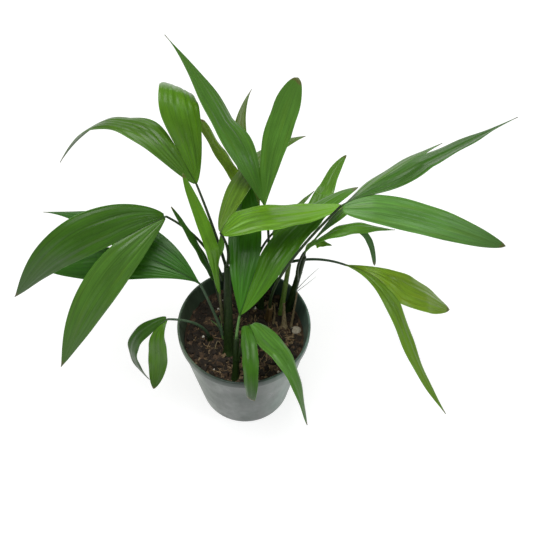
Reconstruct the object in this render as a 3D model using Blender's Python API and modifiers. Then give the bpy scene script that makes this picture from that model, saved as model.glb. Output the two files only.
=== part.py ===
"""A potted bamboo palm: a young clump of thin canes whose leaves have two lobes each,
in a round nursery pot.

Metres, +Z up. The origin is the middle of the pot's flat underside. The side that the
photograph was taken from faces -Y, and its right-hand side is +X.
Headings are degrees in plan, 0 along +X and 90 along +Y. Rises are degrees above level.
"""
import math
from collections import namedtuple

import bmesh
import bpy
import numpy as np
from mathutils import Matrix

OBJECT_NAME = "potted_bamboo_palm"
GAP = 0.0003  # left between neighbours that touch

# Pot, a thin shell that flares up to a band round its rim
POT_HEIGHT = 0.109
POT_RIM_RADIUS = 0.057
POT_BASE_RADIUS = 0.0415
POT_WALL = 0.0018
RIM_BAND = 0.008  # height of the band under the lip
RIM_STEP = 0.0012  # how far the band stands out of the wall
POT_FILLET = 0.002
POT_SIDES = 40
DRAIN_HOLES = 6
DRAIN_RADIUS = 0.004
DRAIN_RING = 0.031

# Growing mix, level where the canes stand
SOIL_TOP = 0.089

# Canes
CANE_SIDES = 10
NODE_SPACING = 0.019  # between the rings on a cane
NODE_BULGE = 0.0003
NODE_HEIGHT = 0.0012
FLARE = 1.25  # a cane's foot, as a multiple of its radius just above
FLARE_HEIGHT = 0.006

# Leaf stalks, ribs and blades
STALK_RADIUS = 0.0012
STALK_LEAD = 0.002  # a stalk first runs along its cane for this length
STALK_POINTS = 8
RIB_RADIUS = 0.0009  # at the fork of the two lobes
RIB_POINTS = 4
BLADE_THICKNESS = 0.0018
BLADE_ROWS = 12
BLADE_START = 0.02  # the first row, as a share of a lobe's length
TIP_HALF_WIDTH = 0.0008
LOBE_OVERLAP = 0.0004  # how far either lobe runs past the rib that they share
FORK_FADE = 0.8  # how soon a lobe's inner edge leaves the rib past the fork
BLADE_CROWN = 0.05  # rise of a lobe's middle, as a share of its width
WELD = 0.000001

# Colours as the photograph shows them, 0 to 255
LEAF_BRIGHT = (108, 148, 44)
LEAF_MID = (84, 126, 56)
LEAF_DARK = (52, 100, 40)
LEAF_BLUISH = (68, 112, 62)
LEAF_OLIVE = (98, 120, 48)
CANE_DARK = (44, 62, 30)
CANE_GREEN = (112, 140, 62)
CANE_BROWN = (104, 84, 52)
DRY_STRAW = (158, 134, 92)
POT_GREEN = (62, 78, 70)
SOIL_BROWN = (58, 44, 30)

# A bent length: where it ends, seen from where it starts, how far its middle stands up out
# of the straight line (arch), how far to the right of it (bow), and where along it (crest)
Bend = namedtuple("Bend", "heading rise reach arch bow crest", defaults=(0.0, 0.0, 0.5))

# A lobe of a blade: its bend, its greatest width and where along it that is (belly), how
# far it is rolled about its middle line, how much more so at its tip (twist), and how
# finely the tip is drawn out (taper)
Lobe = namedtuple("Lobe", "bend width roll twist belly taper")

# A cane: its foot in plan, its top in plan and height, and its radius at either end
Cane = namedtuple("Cane", "foot top foot_radius top_radius colour")

# A leaf: the cane that carries it, how high and on which side, or on its end where these
# are None, then its stalk and its lobes
Frond = namedtuple("Frond", "cane height side stalk lobes colour")

CANES = {
    "cane_main": Cane((-0.0130, -0.0160), (-0.0135, 0.0220, 0.162), 0.0045, 0.0028, CANE_DARK),
    "cane_front": Cane((-0.0064, -0.0400), (-0.0053, -0.0230, 0.124), 0.0030, 0.0024, CANE_DARK),
    "cane_back": Cane((0.0140, 0.0290), (0.0140, 0.0330, 0.112), 0.0028, 0.0023, CANE_DARK),
    "cane_middle": Cane((0.0205, 0.0165), (0.0220, 0.0150, 0.112), 0.0034, 0.0026, CANE_BROWN),
    "cane_green": Cane((0.0318, 0.0228), (0.0377, 0.0420, 0.139), 0.0024, 0.0020, CANE_GREEN),
    "cane_right": Cane((0.0385, 0.0270), (0.0496, 0.0382, 0.156), 0.0030, 0.0023, CANE_DARK),
    "shoot_left": Cane((-0.0300, -0.0040), (-0.0310, -0.0040, 0.095), 0.0022, 0.0016, CANE_DARK),
    "sheath_dry": Cane((0.0346, 0.0105), (0.0342, 0.0220, 0.108), 0.0026, 0.0008, DRY_STRAW),
    "stalk_dry": Cane((0.0412, 0.0114), (0.0450, 0.0240, 0.122), 0.0012, 0.0006, DRY_STRAW),
}

FRONDS = {
    "frond_upper_left": Frond(
        "cane_main", 0.158, 111, Bend(116, 38, 0.070, 0.004),
        (Lobe(Bend(166, -4, 0.121, 0.039, 0.017, 0.55), 0.0285, -5, -25, 0.40, 1.3),
         Lobe(Bend(104, 20, 0.086, 0.0435, -0.0035, 0.60), 0.032, -5, -30, 0.60, 0.55)),
        LEAF_MID),
    "frond_tall": Frond(
        "cane_back", None, None, Bend(83, 77, 0.0895, 0.002, 0.005),
        (Lobe(Bend(128, 33, 0.156, 0.0115, 0.001, 0.60), 0.0295, -50, 40, 0.40, 2.0),
         Lobe(Bend(66, 56, 0.105, -0.0015, -0.005, 0.50), 0.024, 25, -15, 0.65, 0.55)),
        LEAF_BLUISH),
    "frond_centre": Frond(
        "cane_main", None, None, Bend(182, 85, 0.043, 0.003),
        (Lobe(Bend(62, -10, 0.149, 0.011, -0.012, 0.50), 0.019, 15, -15, 0.40, 0.9),
         Lobe(Bend(16, 1, 0.100, 0.0045, -0.002, 0.25), 0.0315, 15, 0, 0.35, 0.7)),
        LEAF_BRIGHT),
    "frond_back": Frond(
        "cane_back", 0.100, 84, Bend(94, 42, 0.072, 0.006, -0.004),
        (Lobe(Bend(132, 36, 0.095, 0.007, -0.0045, 0.50), 0.0135, -30, 5, 0.55, 0.2),
         Lobe(Bend(95, 38, 0.107, 0.0055, -0.0125, 0.60), 0.015, 0, 0, 0.40, 1.2)),
        LEAF_OLIVE),
    "frond_front_broad": Frond(
        "cane_front", None, None, Bend(75, 60, 0.020, 0.001),
        (Lobe(Bend(88, 25, 0.114, 0.0065, 0.0015, 0.50), 0.0275, 10, -5, 0.55, 0.9),
         Lobe(Bend(43, 24, 0.142, 0.0065, -0.0105, 0.60), 0.028, 0, 35, 0.55, 0.7)),
        LEAF_MID),
    "frond_back_folded": Frond(
        "cane_back", 0.106, 180, Bend(67, 55, 0.0565, 0.006, -0.006),
        (Lobe(Bend(44, 21, 0.094, 0.0, 0.018, 0.30), 0.0205, 15, 5, 0.30, 0.6),
         Lobe(Bend(38, 29, 0.051, 0.004, 0.0005, 0.55), 0.0075, 15, 30, 0.40, 0.95)),
        LEAF_MID),
    "frond_right_high": Frond(
        "cane_middle", None, None, Bend(0, 70, 0.1445, 0.014, 0.011),
        (Lobe(Bend(28, 8, 0.153, 0.0085, 0.0035, 0.45), 0.026, 25, 20, 0.50, 1.9),
         Lobe(Bend(-3, -16, 0.132, 0.008, 0.0005, 0.40), 0.024, -5, -40, 0.35, 0.65)),
        LEAF_MID),
    "frond_right_back": Frond(
        "cane_right", 0.132, -105, Bend(11, 84, 0.036, 0.002),
        (Lobe(Bend(35, 19, 0.146, 0.007, -0.006, 0.50), 0.025, 40, 5, 0.60, 1.15),
         Lobe(Bend(10, 12, 0.076, 0.0135, -0.0025, 0.45), 0.015, 15, 5, 0.55, 1.6)),
        LEAF_MID),
    "frond_right_small": Frond(
        "cane_right", None, None, Bend(41, 73, 0.003),
        (Lobe(Bend(11, 9, 0.023, 0.0035, -0.003, 0.45), 0.0095, 5, 0, 0.40, 1.0),
         Lobe(Bend(1, -18, 0.063, 0.032, -0.0085, 0.50), 0.005, -25, -45, 0.70, 0.35)),
        LEAF_DARK),
    "frond_right_drooping": Frond(
        "cane_green", None, None, Bend(-8, 8, 0.048, 0.002, -0.003),
        (Lobe(Bend(-14, -19, 0.099, 0.020, 0.012, 0.35), 0.029, -5, 20, 0.60, 0.65),
         Lobe(Bend(-53, -22, 0.147, 0.018, -0.0075, 0.25), 0.016, 10, 15, 0.40, 1.0)),
        LEAF_BRIGHT),
    "frond_front_drooping": Frond(
        "cane_front", 0.108, -50, Bend(65, 54, 0.031, 0.004),
        (Lobe(Bend(-87, -34, 0.061, 0.0145, -0.0005, 0.55), 0.014, -10, -25, 0.30, 0.2),
         Lobe(Bend(-56, -22, 0.093, 0.0235, -0.0045, 0.45), 0.0185, 5, 35, 0.20, 0.8)),
        LEAF_MID),
    "frond_left_low": Frond(
        "shoot_left", None, None, Bend(-179, 37, 0.041, 0.008),
        (Lobe(Bend(-130, -64, 0.071, 0.0135, 0.017, 0.50), 0.0135, -25, 30, 0.35, 0.55),
         Lobe(Bend(-110, -53, 0.067, 0.008, 0.003, 0.20), 0.017, 0, 15, 0.50, 0.7)),
        LEAF_MID),
    "frond_left_middle": Frond(
        "cane_main", 0.106, 202, Bend(124, 46, 0.047, 0.003),
        (Lobe(Bend(160, 13, 0.144, 0.0155, 0.007, 0.50), 0.033, 5, -30, 0.45, 1.45),
         Lobe(Bend(171, -5, 0.145, 0.011, 0.0045, 0.40), 0.0305, 10, -5, 0.55, 1.2)),
        LEAF_BLUISH),
    "frond_left_large": Frond(
        "cane_main", 0.149, 156, Bend(144, 35, 0.0685, 0.003, 0.006),
        (Lobe(Bend(-160, -21, 0.144, 0.0295, -0.002, 0.45), 0.0335, 30, 55, 0.40, 0.95),
         Lobe(Bend(-135, -36, 0.156, 0.0175, 0.0015, 0.45), 0.030, 20, 35, 0.45, 1.0)),
        LEAF_DARK),
    "frond_young_light": Frond(
        "cane_main", 0.117, 207, Bend(99, 73, 0.030, 0.001),
        (Lobe(Bend(119, 59, 0.107, 0.0065, 0.003, 0.40), 0.011, 0, 0, 0.45, 0.65),
         Lobe(Bend(86, 50, 0.055, 0.0015, -0.001, 0.40), 0.007, 0, 0, 0.45, 0.9)),
        LEAF_BRIGHT),
    "frond_young_dark": Frond(
        "cane_main", 0.125, 171, Bend(112, 48, 0.0245, 0.001),
        (Lobe(Bend(151, 65, 0.083, 0.0045, -0.0015, 0.50), 0.0065, -5, 0, 0.40, 0.6),),
        LEAF_DARK),
}


def remove_old_objects():
    for obj in list(bpy.data.objects):
        bpy.data.objects.remove(obj, do_unlink=True)


def new_collection(name):
    collection = bpy.data.collections.new(name)
    bpy.context.scene.collection.children.link(collection)
    return collection


def linear(colour):
    """A colour of 0 to 255 as the linear values that a shader takes."""
    parts = [part / 255.0 for part in colour]
    return [p / 12.92 if p <= 0.04045 else ((p + 0.055) / 1.055) ** 2.4 for p in parts]


def make_material(name, colour, roughness):
    material = bpy.data.materials.new(name)
    material.use_nodes = True
    shader = material.node_tree.nodes["Principled BSDF"]
    shader.inputs["Base Color"].default_value = (*linear(colour), 1.0)
    shader.inputs["Roughness"].default_value = roughness
    shader.inputs["Metallic"].default_value = 0.0
    return material


def place(name, mesh, collection):
    obj = bpy.data.objects.new(name, mesh)
    collection.objects.link(obj)
    return obj


def evaluated_mesh(obj):
    """The mesh that an object has once its modifiers or its bevel have run."""
    bpy.context.view_layer.update()
    graph = bpy.context.evaluated_depsgraph_get()
    return bpy.data.meshes.new_from_object(obj.evaluated_get(graph))


def smooth(mesh, angle=40.0):
    mesh.shade_smooth()
    mesh.set_sharp_from_angle(angle=math.radians(angle))


def finish(obj, colour, roughness):
    obj.data.materials.clear()
    obj.data.materials.append(make_material(obj.name, colour, roughness))
    smooth(obj.data)


def turned(name, profile, sides, collection):
    """A profile of (radius, height) points, listed down the outer side, turned about Z."""
    mesh = bpy.data.meshes.new(name)
    edges = [(i, i + 1) for i in range(len(profile) - 1)]
    mesh.from_pydata([(radius, 0.0, height) for radius, height in profile], edges, [])
    obj = place(name, mesh, collection)
    screw = obj.modifiers.new("turn", "SCREW")
    screw.steps = sides
    screw.render_steps = sides
    screw.use_merge_vertices = True
    screw.merge_threshold = WELD
    solid = evaluated_mesh(obj)
    bpy.data.objects.remove(obj, do_unlink=True)
    return place(name, solid, collection)


def wall_radius(height):
    """Outer radius of the pot's wall, which is straight up to the rim band."""
    top = POT_RIM_RADIUS - RIM_STEP
    return POT_BASE_RADIUS + (top - POT_BASE_RADIUS) * height / (POT_HEIGHT - RIM_BAND)


def make_pot(collection, cutters):
    band = POT_HEIGHT - RIM_BAND
    inner_rim = POT_RIM_RADIUS - POT_WALL
    profile = [
        (0.0, POT_WALL),
        (wall_radius(POT_WALL) - POT_WALL, POT_WALL),
        (wall_radius(band) - POT_WALL, band),
        (inner_rim, POT_HEIGHT),
        (POT_RIM_RADIUS, POT_HEIGHT),
        (POT_RIM_RADIUS, band),
        (wall_radius(band), band),
        (wall_radius(POT_FILLET), POT_FILLET),
        (POT_BASE_RADIUS - POT_FILLET, 0.0),
        (0.0, 0.0),
    ]
    pot = turned("pot", profile, POT_SIDES, collection)
    drill_drain_holes(pot, collection, cutters)
    finish(bpy.data.objects["pot"], POT_GREEN, 0.45)


def drill_drain_holes(pot, collection, cutters):
    for hole in range(DRAIN_HOLES):
        angle = math.tau * (hole + 0.5) / DRAIN_HOLES
        bpy.ops.mesh.primitive_cylinder_add(
            vertices=12, radius=DRAIN_RADIUS, depth=4 * POT_WALL,
            location=(DRAIN_RING * math.cos(angle), DRAIN_RING * math.sin(angle), POT_WALL / 2))
        drill = bpy.context.active_object
        drill.name = f"drill_{hole + 1}"
        drill.hide_render = True
        drill.display_type = "WIRE"
        for owner in list(drill.users_collection):
            owner.objects.unlink(drill)
        cutters.objects.link(drill)
    cut = pot.modifiers.new("drain_holes", "BOOLEAN")
    cut.operation = "DIFFERENCE"
    cut.operand_type = "COLLECTION"
    cut.collection = cutters
    drilled = evaluated_mesh(pot)
    pot.modifiers.remove(cut)
    pot.data = drilled


def make_soil(collection):
    bottom = POT_WALL + GAP
    clear = POT_WALL + 2 * GAP
    profile = [
        (0.0, SOIL_TOP),
        (wall_radius(SOIL_TOP) - clear, SOIL_TOP),
        (wall_radius(bottom) - clear, bottom),
        (0.0, bottom),
    ]
    soil = turned("soil", profile, POT_SIDES, collection)
    finish(soil, SOIL_BROWN, 0.95)


def cane_foot_height():
    return SOIL_TOP + GAP


def cane_share(cane, height):
    """How far up a cane a height is, from 0 at its foot to 1 at its top."""
    return (height - cane_foot_height()) / (cane.top[2] - cane_foot_height())


def cane_radius(cane, height):
    return cane.foot_radius + (cane.top_radius - cane.foot_radius) * cane_share(cane, height)


def cane_centre(cane, height):
    share = cane_share(cane, height)
    across = [foot + (top - foot) * share for foot, top in zip(cane.foot, cane.top)]
    return np.array([*across, height])


def cane_profile(cane):
    """A cane's outline from its top down: a ring at each node, and a flare at its foot."""
    foot = cane_foot_height()
    top = cane.top[2]
    profile = [(0.0, top), (cane_radius(cane, top), top)]
    node = top - NODE_SPACING
    while node > foot + 2 * FLARE_HEIGHT:
        for offset, bulge in ((NODE_HEIGHT, 0.0), (0.0, NODE_BULGE), (-NODE_HEIGHT, 0.0)):
            profile.append((cane_radius(cane, node + offset) + bulge, node + offset))
        node -= NODE_SPACING
    if top - foot > 2 * FLARE_HEIGHT:
        shoulder = foot + FLARE_HEIGHT
        profile.append((cane_radius(cane, shoulder), shoulder))
    return profile + [(cane.foot_radius * FLARE, foot), (0.0, foot)]


def make_cane(name, cane, collection):
    """A cane is turned about an upright axis, then leant over with its cuts left level."""
    obj = turned(name, cane_profile(cane), CANE_SIDES, collection)
    rise = cane.top[2] - cane_foot_height()
    lean = Matrix.Identity(4)
    lean[0][2] = (cane.top[0] - cane.foot[0]) / rise
    lean[1][2] = (cane.top[1] - cane.foot[1]) / rise
    to_foot = Matrix.Translation((0.0, 0.0, -cane_foot_height()))
    from_foot = Matrix.Translation((*cane.foot, cane_foot_height()))
    obj.data.transform(from_foot @ lean @ to_foot)
    finish(obj, cane.colour, 0.5)


def unit(vectors):
    return vectors / np.linalg.norm(vectors, axis=-1, keepdims=True)


def direction(heading, rise=0.0):
    heading = math.radians(heading)
    rise = math.radians(rise)
    level = math.cos(rise)
    return np.array([math.cos(heading) * level, math.sin(heading) * level, math.sin(rise)])


def swell(share, crest):
    """How far a bend stands out of its straight line: 0 at both ends, 1 at the crest."""
    before = max(1.0, crest / (1.0 - crest))
    after = max(1.0, (1.0 - crest) / crest)
    return (share / crest) ** before * ((1.0 - share) / (1.0 - crest)) ** after


def bend_points(start, bend, share):
    """Points at shares of a bend's length, from 0 at its start to 1 at its end."""
    forward = direction(bend.heading, bend.rise)
    right = direction(bend.heading - 90.0)
    up = np.cross(right, forward)
    offset = bend.arch * up + bend.bow * right
    straight = np.outer(share, bend.reach * forward)
    return start + straight + np.outer(swell(share, bend.crest), offset)


def fullness(lobe, share):
    """A lobe's width at shares of its length, as a part of its greatest width."""
    swelling = lobe.taper * lobe.belly / (1.0 - lobe.belly)
    body = (share / lobe.belly) ** swelling
    return body * ((1.0 - share) / (1.0 - lobe.belly)) ** lobe.taper


def lobe_strip(base, lobe, share):
    """Middle line of a lobe, its direction across to the right, and its half width."""
    step = 0.002
    middle = bend_points(base, lobe.bend, share)
    ahead = bend_points(base, lobe.bend, np.minimum(share + step, 1.0))
    behind = bend_points(base, lobe.bend, np.maximum(share - step, 0.0))
    along = unit(ahead - behind)
    right = direction(lobe.bend.heading - 90.0)
    level = unit(right - (along @ right)[:, None] * along)
    angle = np.radians(lobe.roll + lobe.twist * share)[:, None]
    across = level * np.cos(angle) + np.cross(level, along) * np.sin(angle)
    half = np.maximum(lobe.width / 2 * fullness(lobe, share), TIP_HALF_WIDTH)
    return middle, across, half


def shared_rib(base, lobe, other, share):
    """Where two lobes meet: between their middle lines, nearer to the narrower one."""
    matched = np.minimum(share * lobe.bend.reach / other.bend.reach, 1.0)
    middle, _, half = lobe_strip(base, lobe, share)
    other_middle, _, other_half = lobe_strip(base, other, matched)
    between = other_middle - middle
    rib = middle + between * (half / (half + other_half))[:, None]
    joined = np.linalg.norm(between, axis=1) < half + other_half
    return rib, joined


def lobe_edges(base, lobes, index, share):
    """Left edge and right edge of a lobe, cut back to the rib that it shares."""
    lobe = lobes[index]
    middle, across, half = lobe_strip(base, lobe, share)
    left = middle - across * half[:, None]
    right = middle + across * half[:, None]
    if len(lobes) == 1:
        return left, right
    other = lobes[1 - index]
    rib, _ = shared_rib(base, lobe, other, share)
    to_rib = rib - middle
    distance = np.linalg.norm(to_rib, axis=1)
    near = len(share) // 3
    side = math.copysign(1.0, float(np.sum(to_rib[:near] * across[:near])))
    free = np.clip((distance / half - 1.0) / FORK_FADE, 0.0, 1.0)[:, None]
    inward = unit(unit(to_rib) * (1.0 - free) + across * side * free)
    inner = middle + inward * np.minimum(half, distance + LOBE_OVERLAP)[:, None]
    return (left, inner) if side > 0 else (inner, right)


def make_lobe(name, base, lobes, index, collection):
    """One lobe of a blade, as a grid laid along it, slightly crowned, with a thickness."""
    share = np.linspace(BLADE_START, 1.0, BLADE_ROWS)
    left, right = lobe_edges(base, lobes, index, share)
    middle = (left + right) / 2
    width = np.linalg.norm(right - left, axis=1)[:, None]
    along = np.gradient(middle, axis=0)
    crown = unit(np.cross(right - left, along)) * width * BLADE_CROWN
    columns = (left, middle + crown, right)
    grid = bmesh.new()
    bmesh.ops.create_grid(grid, x_segments=2, y_segments=BLADE_ROWS - 1, size=1.0)
    for vert in grid.verts:
        column = round(vert.co.x) + 1
        row = round((vert.co.y + 1.0) / 2.0 * (BLADE_ROWS - 1))
        vert.co = columns[column][row]
    mesh = bpy.data.meshes.new(name)
    grid.to_mesh(mesh)
    grid.free()
    obj = place(name, mesh, collection)
    shell = obj.modifiers.new("thickness", "SOLIDIFY")
    shell.thickness = BLADE_THICKNESS
    shell.offset = 0.0
    return obj


def make_tube(name, points, radii, collection):
    curve = bpy.data.curves.new(name, "CURVE")
    curve.dimensions = "3D"
    curve.bevel_depth = STALK_RADIUS
    curve.bevel_resolution = 1
    curve.use_fill_caps = True
    spline = curve.splines.new("POLY")
    spline.points.add(len(points) - 1)
    for knot, point, radius in zip(spline.points, points, radii):
        knot.co = (*point, 1.0)
        knot.radius = radius / STALK_RADIUS
    obj = place(name, curve, collection)
    mesh = evaluated_mesh(obj)
    bpy.data.objects.remove(obj, do_unlink=True)
    grown = bmesh.new()
    grown.from_mesh(mesh)
    bmesh.ops.remove_doubles(grown, verts=grown.verts, dist=WELD)
    grown.to_mesh(mesh)
    grown.free()
    return place(name, mesh, collection)


def connected(start):
    """All the vertices that edges join to one vertex."""
    found = {start}
    waiting = [start]
    while waiting:
        vert = waiting.pop()
        for edge in vert.link_edges:
            other = edge.other_vert(vert)
            if other not in found:
                found.add(other)
                waiting.append(other)
    return found


def keep_outer_skin(mesh):
    """Fills the hollows that a union seals and drops its scraps, which are loose skins."""
    joined = bmesh.new()
    joined.from_mesh(mesh)
    left = set(joined.verts)
    skins = []
    while left:
        skin = connected(next(iter(left)))
        left -= skin
        skins.append(skin)
    outer = max(skins, key=len)
    loose = [vert for skin in skins if skin is not outer for vert in skin]
    bmesh.ops.delete(joined, geom=loose, context="VERTS")
    joined.to_mesh(mesh)
    joined.free()


def cane_direction(cane):
    return unit(np.array(cane.top) - cane_centre(cane, cane_foot_height()))


def stalk_foot(frond):
    """Foot of a leaf's stalk, just clear of its cane, and the end of its first short run,
    which is upright on the cane's level end and leans with the cane beside it."""
    cane = CANES[frond.cane]
    if frond.side is None:
        foot = np.array(cane.top) + (0.0, 0.0, GAP)
        return foot, foot + (0.0, 0.0, STALK_LEAD)
    upward = cane_direction(cane)
    stand_off = cane_radius(cane, frond.height) + STALK_RADIUS / upward[2] + GAP
    foot = cane_centre(cane, frond.height) + direction(frond.side) * stand_off
    return foot, foot + upward * STALK_LEAD


def rib_points(base, lobes):
    """The rib from the foot of the blade to the fork of its two lobes."""
    share = np.linspace(BLADE_START, 1.0, 99)
    if len(lobes) == 1:
        line, _, _ = lobe_strip(base, lobes[0], share)
        last = len(share) // 6
    else:
        line, joined = shared_rib(base, lobes[0], lobes[1], share)
        last = max(int(np.argmin(joined)), 3)
    picks = np.linspace(0, last, RIB_POINTS).round().astype(int)
    return line[picks]


def make_frond(name, frond, collection):
    foot, bend_start = stalk_foot(frond)
    stalk = bend_points(bend_start, frond.stalk, np.linspace(0.0, 1.0, STALK_POINTS))
    base = stalk[-1]
    rib = rib_points(base, frond.lobes)
    points = [foot, *stalk, *rib]
    radii = [STALK_RADIUS] * (1 + STALK_POINTS)
    radii += list(np.linspace(STALK_RADIUS, RIB_RADIUS, RIB_POINTS))
    obj = make_tube(name, points, radii, collection)
    blades = new_collection(name + "_blades")
    for index in range(len(frond.lobes)):
        make_lobe(f"{name}_lobe_{index + 1}", base, frond.lobes, index, blades)
    union = obj.modifiers.new("blades", "BOOLEAN")
    union.operation = "UNION"
    union.operand_type = "COLLECTION"
    union.collection = blades
    joined = evaluated_mesh(obj)
    keep_outer_skin(joined)
    obj.modifiers.remove(union)
    obj.data = joined
    for blade in list(blades.objects):
        bpy.data.objects.remove(blade, do_unlink=True)
    bpy.data.collections.remove(blades)
    finish(obj, frond.colour, 0.4)


def main():
    remove_old_objects()
    parts = new_collection(OBJECT_NAME)
    cutters = new_collection(OBJECT_NAME + "_cutters")
    make_pot(parts, cutters)
    make_soil(parts)
    for name, cane in CANES.items():
        make_cane(name, cane, parts)
    for name, frond in FRONDS.items():
        make_frond(name, frond, parts)


main()
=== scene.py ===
"""The looks of a potted bamboo palm, dressed over its CAD frame.

Metres, +Z up, in the frame of the CAD solids. The canes and leaves grow by the same rule
and from the same sizes as the solids, carried to finer blades with pleats and veins.
"""
import math
from collections import namedtuple

import bmesh
import bpy
import numpy as np
from mathutils import Matrix, Vector


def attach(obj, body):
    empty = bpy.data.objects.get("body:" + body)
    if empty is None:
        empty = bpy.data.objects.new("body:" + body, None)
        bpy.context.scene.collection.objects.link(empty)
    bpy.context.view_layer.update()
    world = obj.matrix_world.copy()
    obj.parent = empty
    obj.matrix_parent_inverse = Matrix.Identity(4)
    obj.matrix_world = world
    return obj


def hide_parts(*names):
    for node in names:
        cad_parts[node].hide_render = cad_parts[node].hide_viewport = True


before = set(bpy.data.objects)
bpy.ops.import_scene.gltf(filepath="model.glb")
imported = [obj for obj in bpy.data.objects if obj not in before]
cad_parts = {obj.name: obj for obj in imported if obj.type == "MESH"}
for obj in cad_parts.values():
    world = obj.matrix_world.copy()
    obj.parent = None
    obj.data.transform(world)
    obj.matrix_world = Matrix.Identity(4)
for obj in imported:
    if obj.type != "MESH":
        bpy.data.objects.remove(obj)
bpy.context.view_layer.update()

SEED = 7
BODY = "root"

# Camera, as fitted to the ellipses of the pot's rim and base in the photograph
CAMERA_PLACE = (0.0185, -0.3524, 0.6964)
CAMERA_DOWN = 54.93  # degrees below level
CAMERA_ROLL = 0.83
PHOTO_SIDE = 533  # pixels
PHOTO_FOCAL = 800  # pixels
SENSOR = 36.0

# Light, in a plain white studio
SKY_LIGHT = 0.25
FLOOR_GLOW = 0.8
LAMPS = {  # place, side of the square, power and colour
    "overhead": ((-0.15, 0.0, 1.25), 0.8, 10.0, (1.0, 1.0, 1.0)),
    "window": ((0.85, -0.28, 0.95), 0.22, 1.5, (0.86, 0.94, 1.0)),
    "behind": ((0.0, 1.3, 0.65), 0.3, 1.3, (1.0, 1.0, 1.0)),
}
LAMP_AIM = (0.0, 0.0, 0.15)

# Pot
POT_HEIGHT = 0.109
POT_RIM_RADIUS = 0.057
POT_BASE_RADIUS = 0.0415
POT_WALL = 0.0018
RIM_BAND = 0.008
RIM_STEP = 0.0012
POT_SIDES = 160
DRAIN_HOLES = 6
DRAIN_RADIUS = 0.004
DRAIN_RING = 0.031
WELD = 0.000001

# Growing mix
SOIL_TOP = 0.089
MIX_RINGS = 70
MIX_SPOKES = 220
MIX_RELIEF = 0.0024
FIBRES = 240
FIBRE_RADIUS = 0.00028
FIBRE_LEAN = 0.35
BITS_EDGE = 0.0035  # how far the bits keep from the pot's wall
FIBRES_EDGE = 0.010
STEM_CLEAR = 0.0015  # between the bits and the stems' feet

# Canes, stalks and blades
NODE_SPACING = 0.019
NODE_BULGE = 0.0003
NODE_HEIGHT = 0.0012
GAP = 0.0003
FLARE = 1.25
FLARE_HEIGHT = 0.006
STALK_RADIUS = 0.0012
STALK_LEAD = 0.002
STALK_ROWS = 24
RIB_RADIUS = 0.0006
BLADE_START = 0.01
TIP_HALF_WIDTH = 0.0002
FORK_FADE = 0.8
BLADE_ROWS = 72
BLADE_COLUMNS = 48
LEAF_THICKNESS = 0.0005
BLADE_CROWN = 0.05
PLEAT_WIDTH = 0.0042  # between the main veins of a blade
PLEAT_DEPTH = 0.00022
PLEAT_FADE = 0.6  # how much of the pleats is gone at the tip
PLEAT_SPREADS = (0.31, 0.5, 0.83)  # waves of different width, which make uneven pleats
EDGE_WAVE = 0.0006
EDGE_WAVES = 23  # radians of waviness along a blade
STEM_ROWS = 60
STEM_SIDES = 16

Bend = namedtuple("Bend", "heading rise reach arch bow crest", defaults=(0.0, 0.0, 0.5))
Lobe = namedtuple("Lobe", "bend width roll twist belly taper")
Cane = namedtuple("Cane", "foot top foot_radius top_radius look")
Frond = namedtuple("Frond", "cane height side stalk lobes look")

CANES = {
    "cane_main": Cane((-0.0130, -0.0160), (-0.0135, 0.0220, 0.162), 0.0045, 0.0028, "dark"),
    "cane_front": Cane((-0.0064, -0.0400), (-0.0053, -0.0230, 0.124), 0.0030, 0.0024, "dark"),
    "cane_back": Cane((0.0140, 0.0290), (0.0140, 0.0330, 0.112), 0.0028, 0.0023, "dark"),
    "cane_middle": Cane((0.0205, 0.0165), (0.0220, 0.0150, 0.112), 0.0034, 0.0026, "brown"),
    "cane_green": Cane((0.0318, 0.0228), (0.0377, 0.0420, 0.139), 0.0024, 0.0020, "green"),
    "cane_right": Cane((0.0385, 0.0270), (0.0496, 0.0382, 0.156), 0.0030, 0.0023, "dark"),
    "shoot_left": Cane((-0.0300, -0.0040), (-0.0310, -0.0040, 0.095), 0.0022, 0.0016, "dark"),
    "sheath_dry": Cane((0.0346, 0.0105), (0.0342, 0.0220, 0.108), 0.0026, 0.0008, "straw"),
    "stalk_dry": Cane((0.0412, 0.0114), (0.0450, 0.0240, 0.122), 0.0012, 0.0006, "straw"),
}

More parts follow.
